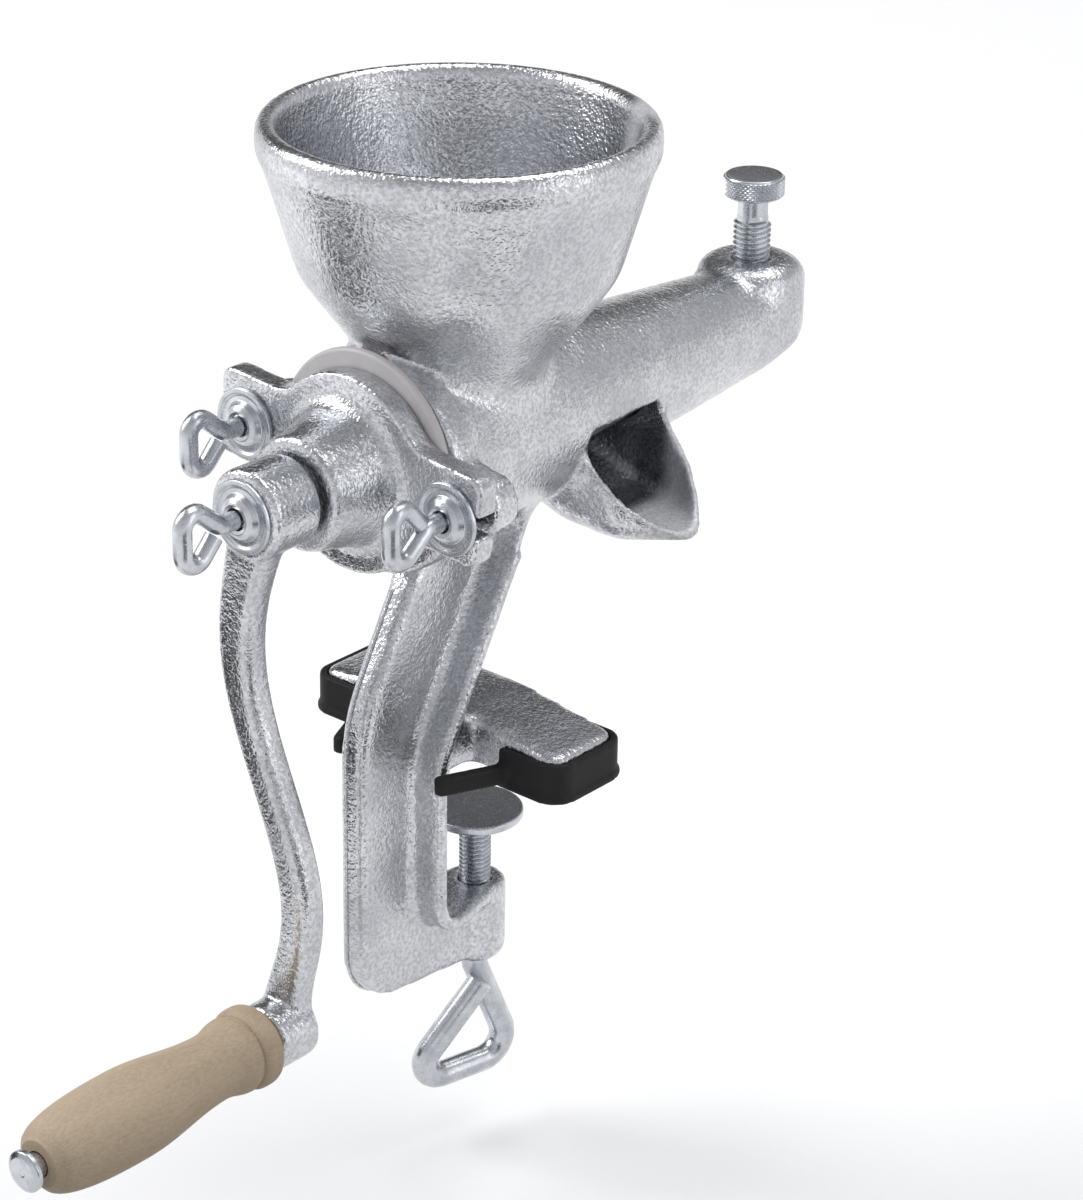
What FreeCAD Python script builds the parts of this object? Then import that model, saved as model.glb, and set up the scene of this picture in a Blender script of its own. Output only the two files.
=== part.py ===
import FreeCAD
import Part
import math
import os

Vec = FreeCAD.Vector

# Hand-cranked fruit press that clamps to a table edge, in millimetres.
# The table top is the plane z = 0 and the clamp screw stands on the z axis.
# The auger lies along y, with the crank at the -y end, and the juice spout points to +x.

# Auger line and barrel
axis_height = 104.0
flange_front_y = -46.0
flange_thickness = 10.0
flange_radius = 33.5
barrel_front_radius = 31.2
barrel_rear_radius = 17.2
barrel_drop = 2.7
chamber_front_radius = 24.0
chamber_rear_radius = 13.0
chamber_length = 158.0
outlet_radius = 9.0

# Hopper
hopper_y = -9.0
rim_rise = 94.7
rim_radius = 58.0
lip_height = 10.0
lip_width = 6.4
lip_step = 1.6
lip_round = 2.9
hopper_wall = 4.0
shoulder_rise = 50.0
shoulder_radius = 46.7
shoulder_round = 24.0
neck_rise = 20.0
neck_radius = 24.6
throat_radius = 18.5

# Rear boss and regulating screw
boss_radius = 17.6
boss_wall = 1.1
boss_above = 17.7
boss_below = 14.0
boss_top_round = 7.0
boss_foot_round = 9.0
regulator_radius = 6.0
regulator_reach = 5.0
regulator_thread_out = 14.0
regulator_neck_radius = 4.8
regulator_neck_length = 6.0
regulator_head_radius = 9.9
regulator_head_height = 7.0
regulator_chamfer = 0.8

# Juice spout
spout_y = 39.8
spout_top_drop = 5.0
spout_back_x = -8.0
spout_back_width = 40.0
spout_back_drop = 27.0
spout_knee_x = 14.0
spout_knee_width = 45.0
spout_knee_drop = 36.5
spout_middle_x = 34.0
spout_middle_width = 38.5
spout_middle_drop = 38.0
spout_nose_x = 44.0
spout_nose_width = 24.0
spout_nose_drop = 37.4
spout_tip_x = 51.5
spout_tip_width = 9.0
spout_tip_drop = 36.4
spout_floor_round = 9.0
spout_corner_share = 0.45
spout_wall = 3.0
spout_mouth_x = 22.5
spout_mouth_drop = 8.0
spout_lip_x = 51.0
spout_lip_drop = 35.0
spout_lip_round = 120.0

# Front cover, seal and ears
seal_thickness = 3.0
seal_radius = 33.0
seal_rise = 1.5
seal_hole_radius = 24.5
cover_thickness = 8.0
cover_radius = 30.0
ear_offset = 39.4
ear_rise = 1.4
ear_above = 15.0
ear_below = 12.5
ear_reach = 11.0
ear_tilt = 5.2
ear_corner = 4.0
ear_blend = 12.0
flange_ear_radius = 8.6
hub_length = 21.0
hub_base_radius = 20.5
hub_front_radius = 16.8
hub_blend = 4.0
hub_edge = 2.0

# Auger
shaft_radius = 8.0
core_radius = 8.0
collar_radius = 14.0
collar_thickness = 5.0
thrust_washer_thickness = 1.5
flight_pitch = 27.0
flight_root = 6.0
flight_tip = 3.0
auger_end_gap = 8.0
drive_flats = 11.0

# Strainer
strainer_thickness = 1.0
strainer_throat_gap = 6.5
strainer_end_gap = 14.0
strainer_hole_radius = 1.2
strainer_row_pitch = 5.0
strainer_rows = 7
strainer_columns = 5
strainer_column_step = 16.0
strainer_facing = -35.0

# Crank and handle
crank_gap = 1.6
crank_boss_length = 18.0
crank_boss_radius = 13.4
crank_throw = 162.7
crank_pin_x = 8.0
arm_thickness = 10.0
arm_setback = 1.2
arm_corner = 3.6
pin_boss_radius = 10.5
pin_boss_length = 15.5
pin_boss_forward = 7.6
crank_edge = 1.5
pin_radius = 3.75
pin_stand_off = 3.6
pin_head_radius = 6.3
pin_head_thickness = 2.6
pin_head_round = 1.0
handle_length = 85.8
handle_collar_radius = 12.7
handle_collar_length = 8.0
handle_groove_radius = 11.8
handle_groove_width = 1.2
handle_neck_radius = 10.2
handle_neck_place = 19.0
handle_belly_radius = 13.6
handle_belly_place = 53.0
handle_end_radius = 8.2
handle_end_round = 5.0
handle_edge = 1.2

# Wire screws and pressed washers
crank_washer_radius = 11.0
cover_washer_radius = 10.2
washer_dome_radius = 6.6
washer_height = 3.6
washer_sheet = 1.2
washer_crown = 1.6
washer_edge = 0.5
screw_radius = 3.0
screw_short = 1.0
screw_chamfer = 0.6
screw_wire_radius = 2.8
screw_loop_length = 22.5
screw_loop_width = 26.0
screw_loop_shift = -1.7
screw_loop_round = 4.2
left_screw_turn = 0.0
right_screw_turn = 180.0
crank_screw_turn = 0.0

# Leg, foot and clamp
web_thickness = 10.0
leg_front_y = -56.0
leg_back_y = -30.0
leg_front_bend = 23.0
leg_back_bend = 7.6
leg_top_front_y = -12.3
leg_top_back_y = 22.9
leg_front_round = 55.0
leg_back_round = 30.0
leg_flange_width = 34.0
leg_flange_thickness = 4.5
arm_top = 49.5
arm_bottom = 71.0
arm_round = 17.0
arm_inner_round = 8.5
clamp_boss_radius = 9.8
clamp_boss_bottom = 77.0
clamp_boss_round = 4.0
clamp_screw_radius = 5.0
clamp_screw_chamfer = 1.0
clamp_wire_radius = 4.1
clamp_loop_drop = 45.0
clamp_loop_width = 43.0
clamp_loop_shift = -6.5
clamp_loop_round = 8.0
clamp_loop_turn = 13.0
clamp_slack = 4.0
pad_radius = 15.0
pad_thickness = 5.0
pad_socket = 3.0
pad_foot_radius = 8.2
pad_rim = 2.6
pad_edge = 1.2
table_thickness = 25.0
foot_half_length = 48.0
foot_front_y = -18.5
foot_back_y = 9.5
foot_height = 13.5
foot_ridge_height = 18.5
foot_ridge_x = 9.0
foot_round = 5.0
foot_neck_width = 28.0
foot_neck_height = 20.0

# Rubber boots
boot_wall = 2.4
boot_floor = 2.0
boot_depth = 12.5
boot_overlap = 21.0
boot_lip = 0.8
tongue_length = 23.0
tongue_width = 4.5
tongue_height = 5.5
tongue_rise = 1.5
tongue_round = 2.0
tongue_turn = 24.0

# Clearances
running_clearance = 0.05
thread_clearance = 0.05
free_clearance = 0.3
strainer_clearance = 0.15
boot_clearance = 0.05
drive_clearance = 0.05
past = 1.0

# Places worked out from the sizes above
seal_front_y = flange_front_y - seal_thickness
cover_front_y = seal_front_y - cover_thickness
hub_front_y = cover_front_y - hub_length
crank_back_y = hub_front_y - crank_gap
crank_front_y = crank_back_y - crank_boss_length
arm_front_y = crank_front_y + arm_setback
arm_mid_y = arm_front_y + arm_thickness / 2
pin_z = axis_height - crank_throw
pin_boss_front_y = arm_front_y - pin_boss_forward
handle_start_y = pin_boss_front_y - free_clearance
handle_end_y = handle_start_y - handle_length
chamber_rear_y = flange_front_y + chamber_length
rim_height = axis_height + rim_rise
shoulder_height = axis_height + shoulder_rise
neck_height = axis_height + neck_rise
boss_y = chamber_rear_y + boss_wall + boss_radius
boss_top = axis_height + boss_above
collar_front_y = seal_front_y + free_clearance + thrust_washer_thickness
cover_screw_depth = cover_thickness + seal_thickness + flange_thickness - screw_short
crank_screw_depth = crank_boss_length - screw_short
pad_top = -table_thickness
pad_bottom = pad_top - pad_thickness


def rounded_edges(corners, closed):
    """Straight runs through (point, radius) corners, joined by tangent arcs."""
    stops = []
    count = len(corners)
    for index, (point, radius) in enumerate(corners):
        is_end = not closed and index in (0, count - 1)
        if is_end or radius == 0:
            stops.append((point, None, point))
            continue
        back = (corners[index - 1][0] - point).normalize()
        ahead = (corners[(index + 1) % count][0] - point).normalize()
        half_angle = back.getAngle(ahead) / 2
        setback = radius / math.tan(half_angle)
        inward = (back + ahead).normalize()
        crown = point + inward * (radius / math.sin(half_angle) - radius)
        stops.append((point + back * setback, crown, point + ahead * setback))
    edges = []
    for index, (start, crown, end) in enumerate(stops):
        if crown:
            edges.append(Part.Arc(start, crown, end).toShape())
        if index == count - 1 and not closed:
            break
        following = stops[(index + 1) % count][0]
        if (following - end).Length > 1e-6:
            edges.append(Part.LineSegment(end, following).toShape())
    return edges


def closed_face(corners):
    return Part.Face(Part.Wire(rounded_edges(corners, True)))


def turned_along_y(outline, x=0.0, z=axis_height):
    """Solid turned about a line along y, from (radius, y, corner radius) points."""
    face = closed_face([(Vec(x + r, y, z), corner) for r, y, corner in outline])
    return face.revolve(Vec(x, 0, z), Vec(0, 1, 0), 360)


def turned_along_z(outline, x=0.0, y=0.0):
    """Solid turned about an upright line, from (radius, z, corner radius) points."""
    face = closed_face([(Vec(x + r, y, z), corner) for r, z, corner in outline])
    return face.revolve(Vec(x, y, 0), Vec(0, 0, 1), 360)


def rod_along_y(radius, y_from, y_to, x=0.0, z=axis_height):
    return Part.makeCylinder(radius, y_to - y_from, Vec(x, y_from, z), Vec(0, 1, 0))


def rod_along_z(radius, z_from, z_to, x=0.0, y=0.0):
    return Part.makeCylinder(radius, z_to - z_from, Vec(x, y, z_from))


def cone_along_y(radius_from, radius_to, y_from, y_to, z=axis_height):
    return Part.makeCone(radius_from, radius_to, y_to - y_from, Vec(0, y_from, z), Vec(0, 1, 0))


def wire_rod(corners, radius):
    """Round wire bent along (point, radius) corners."""
    path = Part.Wire(rounded_edges(corners, False))
    first = path.Edges[0]
    start = first.valueAt(first.FirstParameter)
    ring = Part.makeCircle(radius, start, first.tangentAt(first.FirstParameter))
    return path.makePipeShell([Part.Wire(ring)], True, False)


def joined(shapes):
    return shapes[0].fuse(shapes[1:]).removeSplitter()


def chamber_radius_at(y):
    share = (y - flange_front_y) / chamber_length
    return chamber_front_radius + (chamber_rear_radius - chamber_front_radius) * share


def ear_centre(side):
    tilt = math.radians(ear_tilt)
    x = side * ear_offset * math.cos(tilt) + ear_rise * math.sin(tilt)
    return (x, axis_height + ear_rise * math.cos(tilt) - side * ear_offset * math.sin(tilt))


def tilted(shape):
    """Turns a piece drawn level about the auger line into the slant of the ears."""
    shape.rotate(Vec(0, 0, axis_height), Vec(0, 1, 0), ear_tilt)
    return shape


def hopper_inside():
    """Inner wall of the hopper from the throat up to the rim, as (radius, z, corner radius)."""
    shoulder = (shoulder_radius - hopper_wall, shoulder_height, shoulder_round - hopper_wall)
    mouth = (rim_radius - lip_width, rim_height - lip_height / 2, 0)
    return [(throat_radius, neck_height, 0), shoulder, mouth]


def hopper_wall_ring():
    lip_foot = rim_height - lip_height
    inside = hopper_inside()
    outline = [
        (throat_radius, axis_height, 0),
        (neck_radius, axis_height, 0),
        (neck_radius, neck_height, 0),
        (shoulder_radius, shoulder_height, shoulder_round),
        (rim_radius - lip_step, lip_foot - lip_step, 0),
        (rim_radius, lip_foot, lip_step),
        (rim_radius, rim_height, lip_round),
        (rim_radius - lip_width, rim_height, lip_round),
    ]
    return turned_along_z(outline + inside[::-1], 0, hopper_y)


def hopper_cavity():
    over = rim_height + past
    inside = hopper_inside()
    mouth = [(rim_radius - lip_width, over, 0), (0, over, 0)]
    floor = [(0, axis_height, 0), (throat_radius, axis_height, 0)]
    return turned_along_z(floor + inside + mouth, 0, hopper_y)


def barrel_cone():
    centre = axis_height - barrel_drop
    return cone_along_y(barrel_front_radius, barrel_rear_radius, flange_front_y, boss_y, centre)


def flange():
    back_y = flange_front_y + flange_thickness
    disc = rod_along_y(flange_radius, flange_front_y, back_y)
    ears = [rod_along_y(flange_ear_radius, flange_front_y, back_y, *ear_centre(side)) for side in (-1, 1)]
    low = axis_height + ear_rise - flange_ear_radius
    corner = Vec(-ear_offset, flange_front_y, low)
    bar = Part.makeBox(2 * ear_offset, flange_thickness, 2 * flange_ear_radius, corner)
    return joined([disc, tilted(bar)] + ears)


def rear_boss():
    low = axis_height - boss_below
    outline = [
        (0, low, 0),
        (boss_radius, low, boss_foot_round),
        (boss_radius, boss_top, boss_top_round),
        (0, boss_top, 0),
    ]
    return turned_along_z(outline, 0, boss_y)


def spout_point(x, y, drop):
    return Vec(x, y, axis_height - drop)


def spout_section(x, width, drop, corner):
    """Section across the spout: upright sides on a floor with round corners."""
    half = width / 2
    top = spout_top_drop
    ends = ((-half, top, 0), (-half, drop, corner), (half, drop, corner), (half, top, 0))
    corners = [(spout_point(x, spout_y + side, level), radius) for side, level, radius in ends]
    return Part.Wire(rounded_edges(corners, True))


def spout_trough(wall):
    """Trough from under the barrel to the pouring tip, smaller all round by the given wall."""
    stations = (
        (spout_back_x, spout_back_width, spout_back_drop),
        (spout_knee_x, spout_knee_width, spout_knee_drop),
        (spout_middle_x, spout_middle_width, spout_middle_drop),
        (spout_nose_x, spout_nose_width, spout_nose_drop),
        (spout_tip_x, spout_tip_width, spout_tip_drop),
    )
    sections = []
    for x, width, drop in stations:
        inside = width - 2 * wall
        corner = min(spout_floor_round - wall, spout_corner_share * inside)
        sections.append(spout_section(x, inside, drop - wall, corner))
    return Part.makeLoft(sections, True, True)


def spout_mouth():
    """Round cutter above the spout, which leaves its curved pouring edges."""
    mouth = spout_point(spout_mouth_x, spout_y, spout_mouth_drop)
    lip = spout_point(spout_lip_x, spout_y, spout_lip_drop)
    chord = lip - mouth
    outward = chord.cross(Vec(0, 1, 0)).normalize()
    rise = math.sqrt(spout_lip_round ** 2 - (chord.Length / 2) ** 2)
    centre = (mouth + lip) * 0.5 + outward * rise
    start = centre - Vec(0, spout_knee_width, 0)
    return Part.makeCylinder(spout_lip_round, 2 * spout_knee_width, start, Vec(0, 1, 0))


def leg_outline():
    """Side outline of the leg, from the barrel down past the table edge and in under it."""
    top = axis_height - barrel_drop
    return [
        (Vec(0, leg_top_front_y, top), 0),
        (Vec(0, leg_front_y, leg_front_bend), leg_front_round),
        (Vec(0, leg_front_y, -arm_bottom), arm_round),
        (Vec(0, 0, -clamp_boss_bottom + past), 0),
        (Vec(0, 0, -arm_top), 0),
        (Vec(0, leg_back_y, -arm_top), arm_inner_round),
        (Vec(0, leg_back_y, leg_back_bend), leg_back_round),
        (Vec(0, leg_top_back_y, top), 0),
    ]


def leg_web():
    face = closed_face(leg_outline())
    face.translate(Vec(-web_thickness / 2, 0, 0))
    return face.extrude(Vec(web_thickness, 0, 0))


def leg_flange():
    """Wide strip along the back of the leg and the top of the clamp arm."""
    inset = leg_flange_thickness / 2
    top = axis_height - barrel_drop
    path = [
        (Vec(0, leg_top_back_y - inset, top), 0),
        (Vec(0, leg_back_y - inset, leg_back_bend), leg_back_round + inset),
        (Vec(0, leg_back_y - inset, -arm_top - inset), arm_inner_round + inset),
        (Vec(0, 0, -arm_top - inset), 0),
    ]
    spine = Part.Wire(rounded_edges(path, False))
    first = spine.Edges[0]
    start = first.valueAt(first.FirstParameter)
    along = first.tangentAt(first.FirstParameter)
    across = Vec(leg_flange_width / 2, 0, 0)
    out = along.cross(Vec(1, 0, 0)) * inset
    section = Part.makePolygon([start + across + out, start - across + out, start - across - out,
                                start + across - out, start + across + out])
    strip = spine.makePipeShell([section], True, False)
    return strip.cut(arm_side_cuts())


def arm_side_cuts():
    """Wedges that narrow the clamp arm's top strip down to the clamp boss."""
    cuts = []
    reach = leg_flange_width
    for side in (-1, 1):
        points = [
            Vec(side * leg_flange_width / 2, leg_back_y, -arm_bottom),
            Vec(side * clamp_boss_radius, 0, -arm_bottom),
            Vec(side * clamp_boss_radius, past, -arm_bottom),
            Vec(side * reach, past, -arm_bottom),
            Vec(side * reach, leg_back_y, -arm_bottom),
        ]
        face = Part.Face(Part.makePolygon(points + points[:1]))
        cuts.append(face.extrude(Vec(0, 0, arm_bottom - past)))
    return Part.makeCompound(cuts)


def clamp_boss():
    outline = [
        (0, -clamp_boss_bottom, 0),
        (clamp_boss_radius, -clamp_boss_bottom, clamp_boss_round),
        (clamp_boss_radius, -arm_top, 0),
        (0, -arm_top, 0),
    ]
    return turned_along_z(outline)


def foot():
    """Wings that rest on the table either side of the leg, with rounded ends and a sloping top."""
    inner_y = leg_back_y - leg_flange_thickness / 2
    wing_width = foot_back_y - foot_front_y
    corners = [
        (Vec(-foot_half_length, foot_front_y, boot_floor), foot_round),
        (Vec(foot_half_length, foot_front_y, boot_floor), foot_round),
        (Vec(foot_half_length, foot_back_y, boot_floor), foot_round),
        (Vec(-foot_half_length, foot_back_y, boot_floor), foot_round),
    ]
    plan = closed_face(corners).extrude(Vec(0, 0, foot_ridge_height))
    side = [
        (Vec(-foot_half_length, foot_front_y, boot_floor), 0),
        (Vec(foot_half_length, foot_front_y, boot_floor), 0),
        (Vec(foot_half_length, foot_front_y, foot_height), 0),
        (Vec(foot_ridge_x, foot_front_y, foot_ridge_height), foot_round),
        (Vec(-foot_ridge_x, foot_front_y, foot_ridge_height), foot_round),
        (Vec(-foot_half_length, foot_front_y, foot_height), 0),
    ]
    slopes = closed_face(side).extrude(Vec(0, wing_width, 0))
    lean = (leg_top_back_y - leg_back_y) / (axis_height - barrel_drop - leg_back_bend)
    neck_side = -foot_neck_width / 2
    neck_outline = closed_face([
        (Vec(neck_side, inner_y, boot_floor), 0),
        (Vec(neck_side, foot_back_y, boot_floor), 0),
        (Vec(neck_side, foot_back_y, foot_height), 0),
        (Vec(neck_side, inner_y + lean * (foot_neck_height - leg_back_bend), foot_neck_height), 0),
        (Vec(neck_side, inner_y, leg_back_bend), 0),
    ])
    neck = neck_outline.extrude(Vec(foot_neck_width, 0, 0))
    return joined([plan.common(slopes), neck])


def barrel_outside():
    return joined([barrel_cone(), flange(), rear_boss()])


def seal_space():
    """Room in front of the flange, which is turned flat so that the seal lies on it."""
    radius = seal_radius + free_clearance
    return rod_along_y(radius, cover_front_y - past, flange_front_y, 0, axis_height + seal_rise)


def casting_hollows():
    """Every space that is cored or bored out of the body casting."""
    outlet_rear = boss_y + boss_radius + past
    tapped = screw_radius + thread_clearance
    ear_back = flange_front_y + flange_thickness + past
    ears = [rod_along_y(tapped, flange_front_y - past, ear_back, *ear_centre(side)) for side in (-1, 1)]
    return [
        hopper_cavity(),
        cone_along_y(chamber_front_radius, chamber_rear_radius, flange_front_y, chamber_rear_y),
        rod_along_y(outlet_radius, chamber_rear_y - past, outlet_rear),
        rod_along_z(regulator_radius + thread_clearance, axis_height, boss_top + past, 0, boss_y),
        spout_trough(spout_wall),
        rod_along_z(clamp_screw_radius + thread_clearance, -clamp_boss_bottom - past, -arm_top + past),
    ] + ears


# The body is one casting. Its hopper, barrel, spout and stand are solids that meet on the barrel's skin.

def hopper():
    return hopper_wall_ring().cut([barrel_outside(), seal_space()] + casting_hollows())


def barrel():
    return barrel_outside().cut(casting_hollows())


def spout():
    return spout_trough(0).cut([spout_mouth(), barrel_outside()] + casting_hollows())


def stand():
    """T-section leg with the foot on the table and the clamp arm under it."""
    casting = joined([leg_web(), leg_flange(), clamp_boss(), foot()])
    return casting.cut([barrel_outside(), seal_space()] + casting_hollows())


def cover_seal():
    ring = rod_along_y(seal_radius, seal_front_y, flange_front_y, 0, axis_height + seal_rise)
    return ring.cut(rod_along_y(seal_hole_radius, seal_front_y - past, flange_front_y + past))


def cover_plate():
    disc = rod_along_y(cover_radius, cover_front_y, seal_front_y)
    end = ear_offset + ear_reach
    low, high = axis_height + ear_rise - ear_below, axis_height + ear_rise + ear_above
    ends = ((-end, low), (end, low), (end, high), (-end, high))
    outline = closed_face([(Vec(x, cover_front_y, z), ear_corner) for x, z in ends])
    bar = tilted(outline.extrude(Vec(0, cover_thickness, 0)))
    plate = joined([disc, bar])
    notches = [edge for edge in plate.Edges if is_ear_notch(edge)]
    return plate.makeFillet(ear_blend, notches)


def is_ear_notch(edge):
    """True for the straight edges through the plate where the disc meets an ear."""
    if len(edge.Vertexes) < 2:
        return False
    first, last = edge.Vertexes[0].Point, edge.Vertexes[1].Point
    through = abs(abs(first.y - last.y) - cover_thickness) < 1e-6
    from_axis = math.hypot(first.x, first.z - axis_height)
    return through and abs(from_axis - cover_radius) < 1e-3


def fork_slot(side):
    inner = ear_offset
    outer = ear_offset + ear_reach + past
    half = screw_radius + free_clearance
    back = seal_front_y + past
    depth = back - cover_front_y + past
    middle = axis_height + ear_rise
    start = inner if side > 0 else -outer
    slot = Part.makeBox(outer - inner, depth, 2 * half, Vec(start, cover_front_y - past, middle - half))
    end = rod_along_y(half, cover_front_y - past, back, side * inner, middle)
    return tilted(slot.fuse(end))


def front_cover():
    hub = turned_along_y([
        (0, cover_front_y + past, 0),
        (hub_base_radius + hub_blend * 2, cover_front_y + past, 0),
        (hub_base_radius + hub_blend, cover_front_y, 0),
        (hub_base_radius, cover_front_y - hub_blend / 2, hub_blend),
        (hub_front_radius, hub_front_y, hub_edge),
        (0, hub_front_y, 0),
    ])
    solid = joined([cover_plate(), hub])
    bearing = rod_along_y(shaft_radius + running_clearance, hub_front_y - past, seal_front_y + past)
    return solid.cut([bearing, fork_slot(-1), fork_slot(1)])


def auger_tip_radius_at(y):
    return chamber_radius_at(y) - strainer_thickness - strainer_clearance - free_clearance


def auger():
    rear = chamber_rear_y - auger_end_gap
    start = collar_front_y + collar_thickness
    height = rear - start
    helix = Part.makeHelix(flight_pitch, height, core_radius)
    inner, outer = core_radius / 2, chamber_front_radius
    section = Part.makePolygon([Vec(inner, 0, -flight_root / 2), Vec(outer, 0, -flight_tip / 2),
                                Vec(outer, 0, flight_tip / 2), Vec(inner, 0, flight_root / 2),
                                Vec(inner, 0, -flight_root / 2)])
    flight = Part.Wire(helix).makePipeShell([section], True, True)
    flight.rotate(Vec(0, 0, 0), Vec(1, 0, 0), -90)
    flight.translate(Vec(0, start, axis_height))
    envelope = cone_along_y(auger_tip_radius_at(start), auger_tip_radius_at(rear), start, rear)
    core = rod_along_y(core_radius, start, rear)
    collar = rod_along_y(collar_radius, collar_front_y, start)
    shaft = rod_along_y(shaft_radius, crank_back_y, collar_front_y)
    half = drive_flats / 2
    drive = Part.makeBox(drive_flats, crank_boss_length, drive_flats,
                         Vec(-half, crank_front_y + free_clearance, axis_height - half))
    tapped_end = crank_front_y + crank_screw_depth + past
    tapped = rod_along_y(screw_radius + thread_clearance, crank_front_y - past, tapped_end)
    return joined([core, flight.common(envelope), collar, shaft, drive]).cut(tapped)


def thrust_washer():
    front = seal_front_y + free_clearance
    ring = rod_along_y(collar_radius, front, collar_front_y)
    return ring.cut(rod_along_y(shaft_radius + running_clearance, front - past, collar_front_y + past))


def sleeve_cone(inset, start, end):
    """Cone that lies inside the chamber wall by the given inset."""
    return cone_along_y(chamber_radius_at(start) - inset, chamber_radius_at(end) - inset, start, end)


def strainer():
    """Tapered perforated sleeve that lines the chamber behind the throat."""
    start = hopper_y + throat_radius + strainer_throat_gap
    end = chamber_rear_y - strainer_end_gap
    outer = sleeve_cone(strainer_clearance, start, end)
    inner = sleeve_cone(strainer_clearance + strainer_thickness, start, end)
    middle_row = (strainer_rows - 1) / 2
    middle_column = (strainer_columns - 1) / 2
    holes = []
    for row in range(strainer_rows):
        y = spout_y + (row - middle_row) * strainer_row_pitch
        for column in range(strainer_columns):
            angle = math.radians(strainer_facing + (column - middle_column) * strainer_column_step)
            out = Vec(math.cos(angle), 0, math.sin(angle))
            foot_of_hole = Vec(0, y, axis_height)
            holes.append(Part.makeCylinder(strainer_hole_radius, chamber_front_radius, foot_of_hole, out))
    return outer.cut([inner] + holes)


def regulating_screw():
    tip = axis_height + outlet_radius - regulator_reach
    neck = boss_top + regulator_thread_out
    head = neck + regulator_neck_length
    top = head + regulator_head_height
    chamfer = regulator_chamfer
    return turned_along_z([
        (0, tip, 0),
        (regulator_radius - chamfer, tip, 0),
        (regulator_radius, tip + chamfer, 0),
        (regulator_radius, neck - chamfer, 0),
        (regulator_neck_radius, neck, 0),
        (regulator_neck_radius, head, 0),
        (regulator_head_radius - chamfer, head, 0),
        (regulator_head_radius, head + chamfer, 0),
        (regulator_head_radius, top - chamfer, 0),
        (regulator_head_radius - chamfer, top, 0),
        (0, top, 0),
    ], 0, boss_y)


# Stations down the crank arm: share of the throw, sideways place and width.
arm_stations = (
    (0.00, 0.0, 21.0),
    (0.12, -4.2, 15.5),
    (0.28, -7.8, 12.8),
    (0.50, 2.0, 12.0),
    (0.60, 8.6, 12.0),
    (0.72, 13.8, 11.8),
    (0.81, 13.4, 12.0),
    (0.92, 8.7, 13.6),
    (1.00, crank_pin_x, 15.0),
)


def arm_section(station):
    """Rounded oblong across the crank arm at one station."""
    share, x, width = station
    z = axis_height - share * crank_throw
    half, depth = width / 2, arm_thickness / 2
    corners = [(-half, -depth), (half, -depth), (half, depth), (-half, depth)]
    return Part.Wire(rounded_edges([(Vec(x + u, arm_mid_y + v, z), arm_corner) for u, v in corners], True))


def crank_arm():
    arm = Part.makeLoft([arm_section(station) for station in arm_stations], True, False)
    upper = turned_along_y([
        (0, crank_back_y, 0),
        (crank_boss_radius, crank_back_y, crank_edge),
        (crank_boss_radius, crank_front_y, crank_edge),
        (0, crank_front_y, 0),
    ])
    low = pin_boss_front_y + pin_boss_length
    lower = turned_along_y([
        (0, low, 0),
        (pin_boss_radius, low, crank_edge),
        (pin_boss_radius, pin_boss_front_y, crank_edge),
        (0, pin_boss_front_y, 0),
    ], crank_pin_x, pin_z)
    half = drive_flats / 2 + drive_clearance
    socket = Part.makeBox(2 * half, crank_boss_length + 2 * past, 2 * half,
                          Vec(-half, crank_front_y - past, axis_height - half))
    hole_radius = pin_radius + running_clearance
    pin_hole = rod_along_y(hole_radius, pin_boss_front_y - past, low + past, crank_pin_x, pin_z)
    return joined([arm, upper, lower]).cut([socket, pin_hole])


def handle_pin():
    head_back = handle_end_y - pin_stand_off
    head_front = head_back - pin_head_thickness
    back = pin_boss_front_y + pin_boss_length
    return turned_along_y([
        (0, back, 0),
        (pin_radius, back, 0),
        (pin_radius, head_back, 0),
        (pin_head_radius, head_back, 0),
        (pin_head_radius, head_front, pin_head_round),
        (0, head_front, 0),
    ], crank_pin_x, pin_z)


def handle_point(radius, distance):
    return Vec(crank_pin_x + radius, handle_start_y - distance, pin_z)


def wooden_handle():
    """Turned grip: a collar with a groove, a slim neck, a full belly and a flat free end."""
    bore = pin_radius + free_clearance
    groove_start = handle_collar_length + handle_edge
    grip_start = handle_point(handle_groove_radius, groove_start + handle_groove_width)
    grip_end = handle_point(handle_end_radius, handle_length - handle_edge)
    grip = Part.BSplineCurve()
    grip.interpolate([
        grip_start,
        handle_point(handle_neck_radius, handle_neck_place),
        handle_point(handle_belly_radius, handle_belly_place),
        handle_point(handle_end_radius + handle_end_round / 3, handle_length - handle_end_round),
        grip_end,
    ])
    turned = Part.makePolygon([
        grip_end,
        handle_point(handle_end_radius - handle_edge, handle_length),
        handle_point(bore, handle_length),
        handle_point(bore, 0),
        handle_point(handle_collar_radius - handle_edge, 0),
        handle_point(handle_collar_radius, handle_edge),
        handle_point(handle_collar_radius, handle_collar_length - handle_edge),
        handle_point(handle_collar_radius - handle_edge, handle_collar_length),
        handle_point(handle_groove_radius, groove_start),
        grip_start,
    ])
    face = Part.Face(Part.Wire([grip.toShape()] + turned.Edges))
    return face.revolve(Vec(crank_pin_x, 0, pin_z), Vec(0, 1, 0), 360)


def domed_washer(radius, seat_y, x, z):
    """Pressed washer with a flat rim and a dome that the wire screw passes through."""
    front = seat_y - washer_height
    hole = screw_radius + free_clearance
    flat = seat_y - washer_sheet
    return turned_along_y([
        (washer_dome_radius, seat_y, 0),
        (radius, seat_y, 0),
        (radius, flat, washer_edge),
        (washer_dome_radius + washer_sheet, flat, 2 * washer_edge),
        (hole + washer_crown, front, washer_crown),
        (hole, front, 0),
        (hole, front + washer_sheet, 0),
        (hole + washer_crown / 2, front + washer_sheet, 0),
    ], x, z)


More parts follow.
